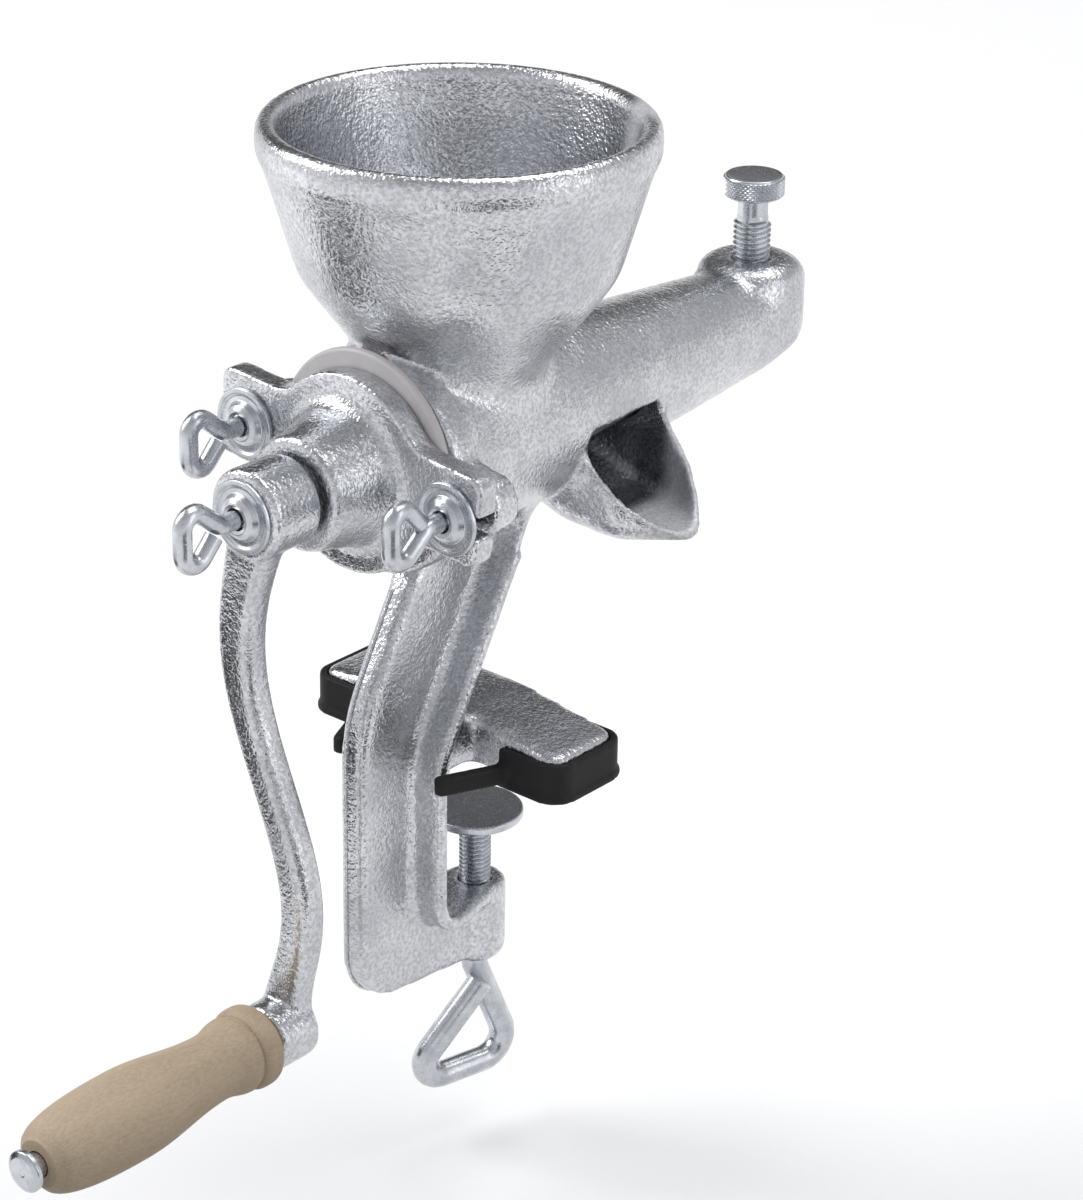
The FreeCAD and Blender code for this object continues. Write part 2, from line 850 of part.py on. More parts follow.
def wire_eye(apex, out, across, length, width, shift, bend, radius):
    """Wire from the end of a shank round a triangular eye, its cut end just clear of the apex."""
    base = apex + out * length + across * shift
    far = base + across * (width / 2)
    near = base - across * (width / 2)
    spread = (far - apex).getAngle(near - apex)
    cut_back = (radius * (1 + math.cos(spread)) + free_clearance) / math.sin(spread)
    cut_end = apex + (near - apex).normalize() * cut_back
    lead = apex - out * (2 * radius)
    return wire_rod([(lead, 0), (apex, 1.5 * radius), (far, bend), (near, bend), (cut_end, 0)], radius)


def wire_screw(seat_y, x, z, depth, turn):
    """Screw of one piece of wire: a threaded shank and a triangular eye, screwed home at the given turn."""
    tip = seat_y + depth
    front = seat_y - washer_height
    neck = front - screw_wire_radius
    apex = Vec(x, neck - screw_wire_radius, z)
    reach = screw_loop_length - 3 * screw_wire_radius
    eye = wire_eye(apex, Vec(0, -1, 0), Vec(0, 0, 1), reach, screw_loop_width,
                   screw_loop_shift, screw_loop_round, screw_wire_radius)
    chamfer = screw_chamfer
    shank = turned_along_y([
        (0, tip, 0),
        (screw_radius - chamfer, tip, 0),
        (screw_radius, tip - chamfer, 0),
        (screw_radius, front, 0),
        (screw_wire_radius, front - chamfer, 0),
        (screw_wire_radius, neck, 0),
        (0, neck, 0),
    ], x, z)
    screw = joined([shank, eye])
    screw.rotate(apex, Vec(0, 1, 0), turn)
    return screw


def clamp_screw():
    """Clamp spindle with its end in the pad and a wire loop below to turn it by."""
    top = pad_bottom + pad_socket
    apex = Vec(0, 0, -clamp_boss_bottom - clamp_slack)
    reach = clamp_loop_drop - clamp_slack - clamp_wire_radius
    eye = wire_eye(apex, Vec(0, 0, -1), Vec(0, 1, 0), reach, clamp_loop_width,
                   clamp_loop_shift, clamp_loop_round, clamp_wire_radius)
    chamfer = clamp_screw_chamfer
    neck = apex.z + clamp_wire_radius
    shank = turned_along_z([
        (0, neck, 0),
        (clamp_wire_radius, neck, 0),
        (clamp_screw_radius, neck + chamfer, 0),
        (clamp_screw_radius, top - chamfer, 0),
        (clamp_screw_radius - chamfer, top, 0),
        (0, top, 0),
    ])
    screw = joined([shank, eye])
    screw.rotate(apex, Vec(0, 0, -1), clamp_loop_turn)
    return screw


def clamp_pad():
    socket = clamp_screw_radius + running_clearance
    floor = pad_bottom + pad_socket + free_clearance
    return turned_along_z([
        (0, floor, 0),
        (socket, floor, 0),
        (socket, pad_bottom, 0),
        (pad_foot_radius, pad_bottom, pad_edge),
        (pad_radius, pad_top - pad_rim, pad_edge),
        (pad_radius, pad_top, pad_edge / 2),
        (0, pad_top, 0),
    ])


def boot_tongue(corner):
    """Strip with a rounded end that slants out from the boot's front wall."""
    outline = [
        (Vec(0, 0, 0), 0),
        (Vec(tongue_width, 0, 0), 0),
        (Vec(tongue_width, -tongue_length, 0), tongue_round),
        (Vec(0, -tongue_length, 0), tongue_round),
    ]
    tongue = closed_face(outline).extrude(Vec(0, 0, tongue_height))
    tongue.rotate(Vec(0, 0, 0), Vec(0, 0, 1), -tongue_turn)
    tongue.translate(corner)
    return tongue


def boot_block(grow, inner_x, z_from, z_to):
    """Block round the right foot wing, its rounded outer end larger than the wing by the given amount."""
    outer_x = foot_half_length + grow
    front, back = foot_front_y - grow, foot_back_y + grow
    corners = [
        (Vec(inner_x, front, z_from), 0),
        (Vec(outer_x, front, z_from), foot_round + grow),
        (Vec(outer_x, back, z_from), foot_round + grow),
        (Vec(inner_x, back, z_from), 0),
    ]
    return closed_face(corners).extrude(Vec(0, 0, z_to - z_from))


def right_boot():
    """Rubber tray over one foot wing, open on the leg side, with a tongue to pull it off by."""
    inner_x = foot_half_length - boot_overlap
    wall = boot_block(boot_wall, inner_x, 0, boot_depth)
    sole = boot_block(boot_wall + boot_lip, inner_x, 0, boot_floor)
    pocket = boot_block(boot_clearance, inner_x - past, boot_floor, boot_depth + past)
    tongue = boot_tongue(Vec(inner_x, foot_front_y, tongue_rise))
    return joined([joined([wall, sole]).cut(pocket), tongue])


def left_boot():
    return right_boot().mirror(Vec(0, 0, 0), Vec(1, 0, 0))


def all_parts():
    parts = {
        "hopper": hopper(),
        "barrel": barrel(),
        "spout": spout(),
        "stand": stand(),
        "front_cover": front_cover(),
        "cover_seal": cover_seal(),
        "auger": auger(),
        "thrust_washer": thrust_washer(),
        "strainer": strainer(),
        "regulating_screw": regulating_screw(),
        "crank_arm": crank_arm(),
        "handle_pin": handle_pin(),
        "wooden_handle": wooden_handle(),
        "crank_washer": domed_washer(crank_washer_radius, crank_front_y, 0, axis_height),
        "crank_screw": wire_screw(crank_front_y, 0, axis_height, crank_screw_depth, crank_screw_turn),
        "clamp_screw": clamp_screw(),
        "clamp_pad": clamp_pad(),
        "right_boot": right_boot(),
        "left_boot": left_boot(),
    }
    for name, side, turn in (("left", -1, left_screw_turn), ("right", 1, right_screw_turn)):
        parts[name + "_cover_washer"] = domed_washer(cover_washer_radius, cover_front_y, *ear_centre(side))
        parts[name + "_cover_screw"] = wire_screw(cover_front_y, *ear_centre(side), cover_screw_depth, turn)
    return parts


os.makedirs("parts", exist_ok=True)
for node, shape in all_parts().items():
    shape.exportStep("parts/" + node + ".step")
    print(node, "solids", len(shape.Solids), "valid", shape.isValid(), "volume", round(shape.Volume))
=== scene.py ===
# %% [markdown]
# # A hand-cranked press
# The press is held by its own clamp. An auger under the hopper squeezes the load through a strainer. What
# is pressed out leaves by the open spout, and the dry rest by the rear end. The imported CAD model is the
# frame of this lesson: it gives every place and size, and here each piece gets the surface that its maker
# would give it.

# %% Load the frame
import math

import bpy
import numpy as np
from mathutils import Matrix, Vector


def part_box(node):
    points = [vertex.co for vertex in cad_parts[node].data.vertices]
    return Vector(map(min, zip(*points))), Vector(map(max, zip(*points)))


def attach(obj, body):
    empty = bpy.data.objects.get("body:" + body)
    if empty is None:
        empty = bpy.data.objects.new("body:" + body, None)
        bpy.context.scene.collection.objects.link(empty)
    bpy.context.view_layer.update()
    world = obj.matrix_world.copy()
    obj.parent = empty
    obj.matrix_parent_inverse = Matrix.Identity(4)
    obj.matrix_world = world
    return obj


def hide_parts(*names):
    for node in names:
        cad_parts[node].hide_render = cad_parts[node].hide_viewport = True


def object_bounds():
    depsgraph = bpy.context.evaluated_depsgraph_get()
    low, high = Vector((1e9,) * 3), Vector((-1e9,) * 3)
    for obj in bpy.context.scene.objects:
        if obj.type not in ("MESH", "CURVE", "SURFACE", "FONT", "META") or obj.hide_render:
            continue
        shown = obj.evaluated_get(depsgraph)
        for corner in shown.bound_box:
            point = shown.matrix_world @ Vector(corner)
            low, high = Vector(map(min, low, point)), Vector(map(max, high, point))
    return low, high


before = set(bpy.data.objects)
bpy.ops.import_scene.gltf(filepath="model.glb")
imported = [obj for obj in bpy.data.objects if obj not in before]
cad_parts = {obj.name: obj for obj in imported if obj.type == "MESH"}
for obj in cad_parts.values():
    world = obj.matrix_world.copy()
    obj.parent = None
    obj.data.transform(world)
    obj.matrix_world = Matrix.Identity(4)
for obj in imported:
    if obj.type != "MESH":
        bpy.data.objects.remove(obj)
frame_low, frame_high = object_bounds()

MM = 0.001
Y, Z = Vector((0, 1, 0)), Vector((0, 0, 1))
print("CAD box in mm:", [round(value / MM, 1) for value in (*frame_low, *frame_high)])

# %% [markdown]
# ## The bench
# A few moves make every piece here. An outline is drawn by extruding one vertex from point to point, as a
# turner draws a template. It can then be spun about an axis, or swept into wire. Corners are given as a
# point and a radius, because the real pieces are turned, bent and cast, and none of them has a knife
# edge.

# %% Select, edit and finish
def select_only(piece):
    bpy.ops.object.select_all(action="DESELECT")
    piece.select_set(True)
    bpy.context.view_layer.objects.active = piece


def apply_modifier(piece, kind, **settings):
    """Adds one modifier, sets it and applies it."""
    select_only(piece)
    bpy.ops.object.modifier_add(type=kind)
    modifier = piece.modifiers[-1]
    for name, value in settings.items():
        setattr(modifier, name, value)
    bpy.ops.object.modifier_apply(modifier=modifier.name)


def close_up(piece, smooth_below=35):
    """Merges doubles, turns the faces outwards and shades smooth all but the sharper edges."""
    select_only(piece)
    bpy.ops.object.mode_set(mode="EDIT")
    bpy.ops.mesh.select_all(action="SELECT")
    bpy.ops.mesh.remove_doubles(threshold=0.005 * MM)
    bpy.ops.mesh.normals_make_consistent(inside=False)
    bpy.ops.object.mode_set(mode="OBJECT")
    bpy.ops.object.shade_smooth_by_angle(angle=math.radians(smooth_below))
    return piece


def joined(name, pieces):
    select_only(pieces[0])
    for piece in pieces[1:]:
        piece.select_set(True)
    bpy.ops.object.join()
    pieces[0].name = pieces[0].data.name = name
    return pieces[0]


# %% Draw, turn and bend
def rounded(corners, steps=8):
    """Points along straight runs whose (point, radius) corners are rounded by arcs."""
    points = [corners[0][0]]
    for (before, _), (point, radius), (after, _) in zip(corners, corners[1:], corners[2:]):
        if radius == 0:
            points.append(point)
            continue
        back, ahead = (before - point).normalized(), (after - point).normalized()
        half = back.angle(ahead) / 2
        centre = point + (back + ahead).normalized() * (radius / math.sin(half))
        start = (point + back * (radius / math.tan(half)) - centre).normalized()
        end = (point + ahead * (radius / math.tan(half)) - centre).normalized()
        points += [centre + start.slerp(end, step / steps) * radius for step in range(steps + 1)]
    return points + [corners[-1][0]]


def drawn_line(name, points):
    """A line of edges, drawn by extruding one vertex from point to point."""
    bpy.ops.object.select_all(action="DESELECT")
    bpy.ops.mesh.primitive_plane_add(size=MM, location=points[0])
    line = bpy.context.active_object
    line.name = line.data.name = name
    bpy.ops.object.transform_apply()
    bpy.ops.object.mode_set(mode="EDIT")
    bpy.ops.mesh.select_mode(type="VERT")
    bpy.ops.mesh.select_all(action="SELECT")
    bpy.ops.mesh.merge(type="CENTER")
    for here, there in zip(points, points[1:]):
        bpy.ops.mesh.extrude_vertices_move(TRANSFORM_OT_translate={"value": there - here})
    bpy.ops.object.mode_set(mode="OBJECT")
    return line


def turned(name, outline, centre, axis, steps=96):
    """Spins an outline of (radius, distance along the axis, corner radius) in mm."""
    side = axis.orthogonal().normalized()
    corners = [(centre + (axis * along + side * radius) * MM, corner * MM)
               for radius, along, corner in outline]
    piece = drawn_line(name, rounded(corners))
    select_only(piece)
    bpy.ops.object.mode_set(mode="EDIT")
    bpy.ops.mesh.select_all(action="SELECT")
    bpy.ops.mesh.spin(steps=steps, angle=math.tau, center=centre, axis=axis)
    bpy.ops.object.mode_set(mode="OBJECT")
    return close_up(piece)


def bent_wire(name, corners, radius):
    """Round wire along (point, radius) corners, with flat cut ends."""
    line = drawn_line(name, rounded(corners, 12))
    select_only(line)
    bpy.ops.object.convert(target="CURVE")
    wire = bpy.context.active_object
    wire.data.bevel_depth = radius
    wire.data.bevel_resolution = 6
    wire.data.use_fill_caps = True
    bpy.ops.object.convert(target="MESH")
    return close_up(bpy.context.active_object, 50)


print("bench ready")

# %% [markdown]
# ## Castings
# The body, the cover and the crank are cast in sand and dipped in tin, so every edge is soft and every
# joint between two forms is filled with a blend. Bevels would have to be chosen edge by edge. A skin is
# simpler: the CAD meshes are joined, remeshed evenly, and relaxed, a little all over and more where two
# forms run into each other.

# %% Cast skins
def cast_skin(name, nodes, grid):
    """One even mesh over copies of the CAD nodes."""
    copies = []
    for node in nodes:
        copy = bpy.data.objects.new(name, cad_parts[node].data.copy())
        bpy.context.scene.collection.objects.link(copy)
        copies.append(copy)
    skin = joined(name, copies)
    close_up(skin)
    apply_modifier(skin, "REMESH", mode="VOXEL", voxel_size=grid * MM)
    print(name, "has", len(skin.data.polygons), "faces")
    return skin


def vertex_places(piece):
    places = np.empty(len(piece.data.vertices) * 3)
    piece.data.vertices.foreach_get("co", places)
    return places.reshape(-1, 3) / MM


def relax(piece, chosen, repeat):
    """Smooths the chosen vertices again and again, which fills hollow corners and rounds edges."""
    select_only(piece)
    bpy.ops.object.mode_set(mode="EDIT")
    bpy.ops.mesh.select_mode(type="VERT")
    bpy.ops.mesh.select_all(action="DESELECT")
    bpy.ops.object.mode_set(mode="OBJECT")
    piece.data.vertices.foreach_set("select", chosen)
    bpy.ops.object.mode_set(mode="EDIT")
    bpy.ops.mesh.vertices_smooth(factor=0.5, repeat=repeat)
    bpy.ops.object.mode_set(mode="OBJECT")


def all_over(piece):
    """Every vertex of a piece."""
    return np.ones(len(piece.data.vertices), dtype=bool)


# %% The body
BODY_NODES = ("hopper", "barrel", "spout", "stand")
hopper_low, hopper_high = (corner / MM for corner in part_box("hopper"))
barrel_low, barrel_high = (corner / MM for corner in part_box("barrel"))
spout_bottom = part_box("spout")[0].z / MM
stand_low, stand_high = (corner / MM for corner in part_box("stand"))
hopper_y = (hopper_low.y + hopper_high.y) / 2

BODY_GRID, AUGER_AXIS, BARREL_AXIS, FLANGE_THICKNESS = 1.35, 104, 101, 11
body = cast_skin("body_casting", BODY_NODES, BODY_GRID)
relax(body, all_over(body), repeat=4)
x, y, z = vertex_places(body).T
behind_flange = y > barrel_low.y + FLANGE_THICKNESS

# %% Blends of the body
NECK_REACH, NECK_BELOW, NECK_ABOVE = 40, 6, 26
near_hopper = np.hypot(x, y - hopper_y) < NECK_REACH
neck_blend = near_hopper & (z > hopper_low.z - NECK_BELOW) & (z < hopper_low.z + NECK_ABOVE)
relax(body, neck_blend & behind_flange, repeat=45)

BOSS_TOP, BOSS_EDGE, BOSS_FRONT, BOSS_BACK, OUTLET_RADIUS = 121.7, 4, 46, 6, 12
boss_blend = (y > barrel_high.y - BOSS_FRONT) & (y < barrel_high.y - BOSS_BACK) & (z < BOSS_TOP - BOSS_EDGE)
relax(body, boss_blend & (np.hypot(x, z - AUGER_AXIS) > OUTLET_RADIUS), repeat=20)

LEG_REACH, LEG_BELOW, LEG_ABOVE, LEG_BACK, CHAMBER_RADIUS = 26, 16, 8, 30, 25
leg_blend = (np.abs(x) < LEG_REACH) & (z > stand_high.z - LEG_BELOW) & (z < stand_high.z + LEG_ABOVE)
leg_blend = leg_blend & behind_flange & (y < LEG_BACK)
relax(body, leg_blend & (np.hypot(x, z - BARREL_AXIS) > CHAMBER_RADIUS), repeat=30)

LIP_DEPTH, HOLE_RADIUS, SPOUT_GAP = 16, 8, 4
relax(body, z > hopper_high.z - LIP_DEPTH, repeat=6)
clamp_hole = (np.hypot(x, y) < HOLE_RADIUS) & (z < 0)
relax(body, (z < spout_bottom - SPOUT_GAP) & ~clamp_hole, repeat=3)
print("blended vertices at neck, boss and leg:", neck_blend.sum(), boss_blend.sum(), leg_blend.sum())
bpy.ops.object.shade_smooth()
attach(body, "mill")
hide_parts(*BODY_NODES)

# %% [markdown]
# The two halves of the sand mould met a little left of the leg's middle, and the iron that ran between
# them left a thin line there. It was ground down but still shows, so it is a fine wire, half sunk in the
# leg's front edge.

# %% The parting line
LEG_FRONT_BEND, LEG_FRONT_ROUND, LEG_LEAN, ARM_BOTTOM, ARM_ROUND = 23.0, 55.0, 0.558, -71.0, 17.0
PARTING_X, PARTING_TOP, PARTING_END_Y, PARTING_RADIUS = -2.0, 60.0, -24.0, 0.5
leg_front = stand_low.y
parting_corners = [
    (leg_front + LEG_LEAN * (PARTING_TOP - LEG_FRONT_BEND), PARTING_TOP, 0),
    (leg_front, LEG_FRONT_BEND, LEG_FRONT_ROUND),
    (leg_front, ARM_BOTTOM, ARM_ROUND),
    (PARTING_END_Y, ARM_BOTTOM + (stand_low.z - ARM_BOTTOM) * (1 - PARTING_END_Y / leg_front), 0),
]
parting = bent_wire("parting_line", [(Vector((PARTING_X, along, up)) * MM, corner * MM)
                                     for along, up, corner in parting_corners], PARTING_RADIUS * MM)
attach(parting, "mill")

# %% The cover and the crank
FINE_GRID = 0.8
cover = cast_skin("cover_casting", ("front_cover",), FINE_GRID)
relax(cover, all_over(cover), repeat=7)
bpy.ops.object.shade_smooth()
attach(cover, "mill")
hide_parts("front_cover")

crank = cast_skin("crank_casting", ("crank_arm",), FINE_GRID)
relax(crank, all_over(crank), repeat=6)
bpy.ops.object.shade_smooth()
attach(crank, "crank")
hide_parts("crank_arm")

# %% [markdown]
# ## Rubber boots
# Two moulded boots keep the foot from marking what it stands on. Moulded rubber has round edges too, so
# they are skinned as the castings are, on a finer grid.

# %% Boots
BOOT_GRID = 0.55
for side in ("left", "right"):
    boot = cast_skin(side + "_boot_rubber", (side + "_boot",), BOOT_GRID)
    relax(boot, all_over(boot), repeat=5)
    bpy.ops.object.shade_smooth()
    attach(boot, "mill")
    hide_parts(side + "_boot")

# %% [markdown]
# ## Threads
# A thread is a ridge wound round a shank. The Screw modifier winds a small closed section upwards round
# the Z axis, and the wound ridge is then stood on its place. Its root is sunk into the shank, so both
# stay closed shells.

# %% Wind a thread
# Shares of the pitch: the ridge's depth, and half its width at the root and at the crest.
RIDGE_DEPTH, ROOT_HALF, CREST_HALF = 0.62, 0.44, 0.09
RIDGE_STEPS = 40


def wound_thread(name, radius, pitch, length, centre, axis):
    """A ridge of the given outer radius in mm, wound round the axis from the centre on."""
    root = radius - RIDGE_DEPTH * pitch
    section = [(root, -ROOT_HALF), (radius, -CREST_HALF), (radius, CREST_HALF), (root, ROOT_HALF),
               (root, -ROOT_HALF)]
    ridge = drawn_line(name, [Vector((across, 0, share * pitch)) * MM for across, share in section])
    close_up(ridge)
    turns = round(length / pitch)
    apply_modifier(ridge, "SCREW", axis="Z", screw_offset=pitch * MM, iterations=turns, steps=RIDGE_STEPS,
                   render_steps=RIDGE_STEPS)
    select_only(ridge)
    bpy.ops.object.mode_set(mode="EDIT")
    bpy.ops.mesh.select_all(action="SELECT")
    bpy.ops.mesh.fill_holes(sides=4)
    bpy.ops.object.mode_set(mode="OBJECT")
    ridge.rotation_euler = Z.rotation_difference(axis).to_euler()
    ridge.location = centre
    select_only(ridge)
    bpy.ops.object.transform_apply()
    return close_up(ridge)


# %% [markdown]
# ## Regulating screw
# This screw stands on the rear end and sets how dry the rest leaves there. Its head is knurled, so that
# wet fingers can turn it. The knurl starts as a band of quads: each is poked into four triangles, the old
# edges are dissolved so that diamonds are left, and each diamond is poked outwards into a small pyramid.

# %% Knurl a band
KNURL_HEIGHT, KNURL_AROUND, KNURL_ROWS = 0.5, 40, 4


def knurled_band(name, radius, low, high, centre, around, rows):
    bpy.ops.object.select_all(action="DESELECT")
    middle = centre + Z * ((low + high) / 2 * MM)
    bpy.ops.mesh.primitive_cylinder_add(vertices=around, radius=radius * MM, depth=(high - low) * MM,
                                        end_fill_type="NOTHING", location=middle)
    band = bpy.context.active_object
    band.name = band.data.name = name
    bpy.ops.object.transform_apply()
    bpy.ops.object.mode_set(mode="EDIT")
    for row in range(1, rows):
        level = middle + Z * ((row / rows - 0.5) * (high - low) * MM)
        bpy.ops.mesh.select_all(action="SELECT")
        bpy.ops.mesh.bisect(plane_co=level, plane_no=Z)
    bpy.ops.mesh.select_all(action="SELECT")
    bpy.ops.mesh.poke()
    bpy.ops.mesh.select_mode(type="EDGE")
    bpy.ops.mesh.select_all(action="DESELECT")
    bpy.ops.object.mode_set(mode="OBJECT")
    vertices = band.data.vertices
    bottom, top = middle.z - (high - low) / 2 * MM, middle.z + (high - low) / 2 * MM
    row_height = (high - low) / rows * MM
    for edge in band.data.edges:
        first, last = (vertices[index].co for index in edge.vertices)
        rise = abs(first.z - last.z)
        at_rim = rise < 0.1 * row_height and min(abs(first.z - bottom), abs(first.z - top)) < 0.1 * row_height
        edge.select = not at_rim and (rise < 0.1 * row_height or rise > 0.9 * row_height)
    bpy.ops.object.mode_set(mode="EDIT")
    bpy.ops.mesh.dissolve_edges(use_verts=False, use_face_split=False)
    bpy.ops.mesh.select_mode(type="FACE")
    bpy.ops.mesh.select_all(action="SELECT")
    bpy.ops.mesh.poke(offset=KNURL_HEIGHT * MM)
    bpy.ops.object.mode_set(mode="OBJECT")
    return band


# %% The regulating screw
screw_low, screw_high = (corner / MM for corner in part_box("regulating_screw"))
regulator_centre = Vector((0, (screw_low.y + screw_high.y) / 2, 0)) * MM
head_radius = (screw_high.x - screw_low.x) / 2
REGULATOR_RADIUS, REGULATOR_PITCH = 6.0, 1.75
HEAD_HEIGHT, NECK_HEIGHT, NECK_RADIUS = 7.0, 6.0, 4.8
head_low = screw_high.z - HEAD_HEIGHT
thread_top = head_low - NECK_HEIGHT
band_radius = head_radius - KNURL_HEIGHT

regulator_shank = turned("regulator_shank", [
    (0, screw_low.z, 0),
    (REGULATOR_RADIUS - 1.1, screw_low.z, 0.3),
    (REGULATOR_RADIUS - 0.95, thread_top - 1.0, 0),
    (NECK_RADIUS, thread_top, 0.3),
    (NECK_RADIUS, head_low, 0.5),
    (head_radius - 1.1, head_low, 0.4),
    (band_radius, head_low + 0.9, 0),
    (band_radius, screw_high.z - 0.8, 0),
    (head_radius - 1.0, screw_high.z, 0.4),
    (head_radius - 1.9, screw_high.z - 0.12, 0.2),
    (0, screw_high.z - 0.2, 0),
], regulator_centre, Z)
regulator_thread = wound_thread("regulator_thread", REGULATOR_RADIUS, REGULATOR_PITCH,
                                thread_top - screw_low.z - 2.5,
                                regulator_centre + Z * (screw_low.z + 1.2) * MM, Z)
regulator_knurl = knurled_band("regulator_knurl", band_radius, head_low + 0.7, screw_high.z - 0.6,
                               regulator_centre, KNURL_AROUND, KNURL_ROWS)
regulator = joined("regulating_screw_knurled", [regulator_shank, regulator_thread, regulator_knurl])
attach(regulator, "regulator")
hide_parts("regulating_screw")
print("regulating screw:", len(regulator.data.polygons), "faces")

# %% [markdown]
# ## Wire screws and their washers
# The cover and the crank are held by screws that are each bent from one piece of wire: a threaded shank,
# then a triangular eye to turn it by, with the cut end lying close to the shank. One screw is modelled
# round its own axis and copied to its places, and cut off shorter for the crank. The washers are pressed
# from sheet, with a rim and a dome, so one is turned and copied.

# %% One wire screw
SCREW_RADIUS, WIRE_RADIUS, SCREW_PITCH = 3.0, 2.8, 1.0
WASHER_HEIGHT = 3.6
EYE_LENGTH, EYE_WIDTH, EYE_SHIFT, EYE_BEND = 22.5, 26.0, -1.7, 4.2
# Shares of the wire's radius: the lead into the eye and its first bend. The cut end's gap is in mm.
EYE_LEAD, APEX_BEND, CUT_GAP = 2.2, 1.5, 0.3


def eye_corners(apex, out, across, length, width, shift, bend, radius, lift=0.0):
    """Corners of the wire from the shank round a triangular eye to its cut end, lifted out of the plane."""
    base = apex + out * length + across * shift
    far, near = base + across * (width / 2), base - across * (width / 2)
    spread = (far - apex).angle(near - apex)
    clear = math.sqrt((2 * radius) ** 2 - lift ** 2)
    cut_back = (clear - radius + radius * math.cos(spread) + CUT_GAP) / math.sin(spread)
    cut_end = apex + (near - apex).normalized() * cut_back + out.cross(across) * lift
    lead = apex - out * (EYE_LEAD * radius)
    corners = [(lead, 0), (apex, APEX_BEND * radius), (far, bend), (near, bend), (cut_end, 0)]
    return [(point * MM, corner * MM) for point, corner in corners]


def wire_screw(name, depth):
    """A wire screw round the Y axis, with its washer at the origin and its shank down to the given depth."""
    front = -WASHER_HEIGHT
    apex = Vector((0, front - 2 * WIRE_RADIUS, 0))
    reach = EYE_LENGTH - 3 * WIRE_RADIUS
    eye = bent_wire(name, eye_corners(apex, -Y, Z, reach, EYE_WIDTH, EYE_SHIFT, EYE_BEND, WIRE_RADIUS),
                    WIRE_RADIUS * MM)
    shank = turned(name, [
        (0, depth, 0),
        (SCREW_RADIUS - 0.8, depth, 0),
        (SCREW_RADIUS - 0.5, depth - 0.6, 0),
        (SCREW_RADIUS - 0.5, front + 1.0, 0),
        (WIRE_RADIUS, front, 0.2),
        (WIRE_RADIUS, front - WIRE_RADIUS, 0),
        (0, front - WIRE_RADIUS, 0),
    ], Vector((0, 0, 0)), Y, 48)
    ridge = wound_thread(name, SCREW_RADIUS, SCREW_PITCH, depth - front - 2.6, Y * (front + 1.6) * MM, Y)
    return joined(name, [eye, shank, ridge])


def pressed_washer(name, radius):
    """A pressed washer round the Y axis: flat rim, a groove round it and a dome with the screw hole."""
    hole, front = SCREW_RADIUS + 0.3, -WASHER_HEIGHT
    return turned(name, [
        (6.2, -0.05, 0),
        (radius - 0.4, 0, 0.2),
        (radius, -0.6, 0.4),
        (radius - 0.2, -1.5, 0.4),
        (radius - 1.6, -1.5, 0.5),
        (radius - 2.4, -0.95, 0.5),
        (7.1, -1.05, 0.5),
        (6.1, -2.6, 0.8),
        (hole + 1.2, front, 0.9),
        (hole, front + 0.3, 0.2),
        (hole, front + 1.2, 0),
        (hole + 1.5, front + 1.3, 0.3),
        (6.2, -0.05, 0),
    ], Vector((0, 0, 0)), Y, 72)


# %% Place the screws and washers
COVER_DEPTH, CRANK_DEPTH = 20.0, 17.0
PLACES = (("crank", CRANK_DEPTH, 0), ("left_cover", COVER_DEPTH, 0), ("right_cover", COVER_DEPTH, 180))


def seated_copy(name, model, seat, turn):
    """A copy with its own mesh, turned about its axis by the given degrees and moved to its seat."""
    copy = bpy.data.objects.new(name, model.data.copy())
    bpy.context.scene.collection.objects.link(copy)
    copy.rotation_euler = (0, math.radians(turn), 0)
    copy.location = seat
    select_only(copy)
    bpy.ops.object.transform_apply()
    return copy


def cut_off(piece, depth):
    """Cuts a screw off at a depth in mm."""
    select_only(piece)
    bpy.ops.object.mode_set(mode="EDIT")
    bpy.ops.mesh.select_all(action="SELECT")
    bpy.ops.mesh.bisect(plane_co=Y * depth * MM, plane_no=Y, use_fill=True, clear_outer=True)
    bpy.ops.object.mode_set(mode="OBJECT")


washer_low, washer_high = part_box("crank_washer")
washer_model = pressed_washer("washer_model", (washer_high.x - washer_low.x) / 2 / MM)
screw_model = wire_screw("screw_model", COVER_DEPTH)
for holder, depth, turn in sorted(PLACES, key=lambda row: -row[1]):
    if depth < COVER_DEPTH:
        cut_off(screw_model, depth)
    low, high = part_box(holder + "_washer")
    seat = Vector(((low.x + high.x) / 2, high.y, (low.z + high.z) / 2))
    washer = seated_copy(holder + "_washer_pressed", washer_model, seat, 0)
    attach(washer, holder + "_washer")
    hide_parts(holder + "_washer")
    screw = seated_copy(holder + "_screw_wire", screw_model, seat, turn)
    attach(screw, holder + "_screw")
    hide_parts(holder + "_screw")
    print(holder, "washer radius", round((high.x - low.x) / 2 / MM, 2),
          "screw faces", len(screw.data.polygons))
for model in (washer_model, screw_model):
    bpy.data.objects.remove(model)

# %% [markdown]
# ## Clamp screw
# The clamp screw lifts its pad towards the boots, and the press holds on between them. It is a heavier wire
# screw that stands upright, with the same kind of triangular eye hanging below.

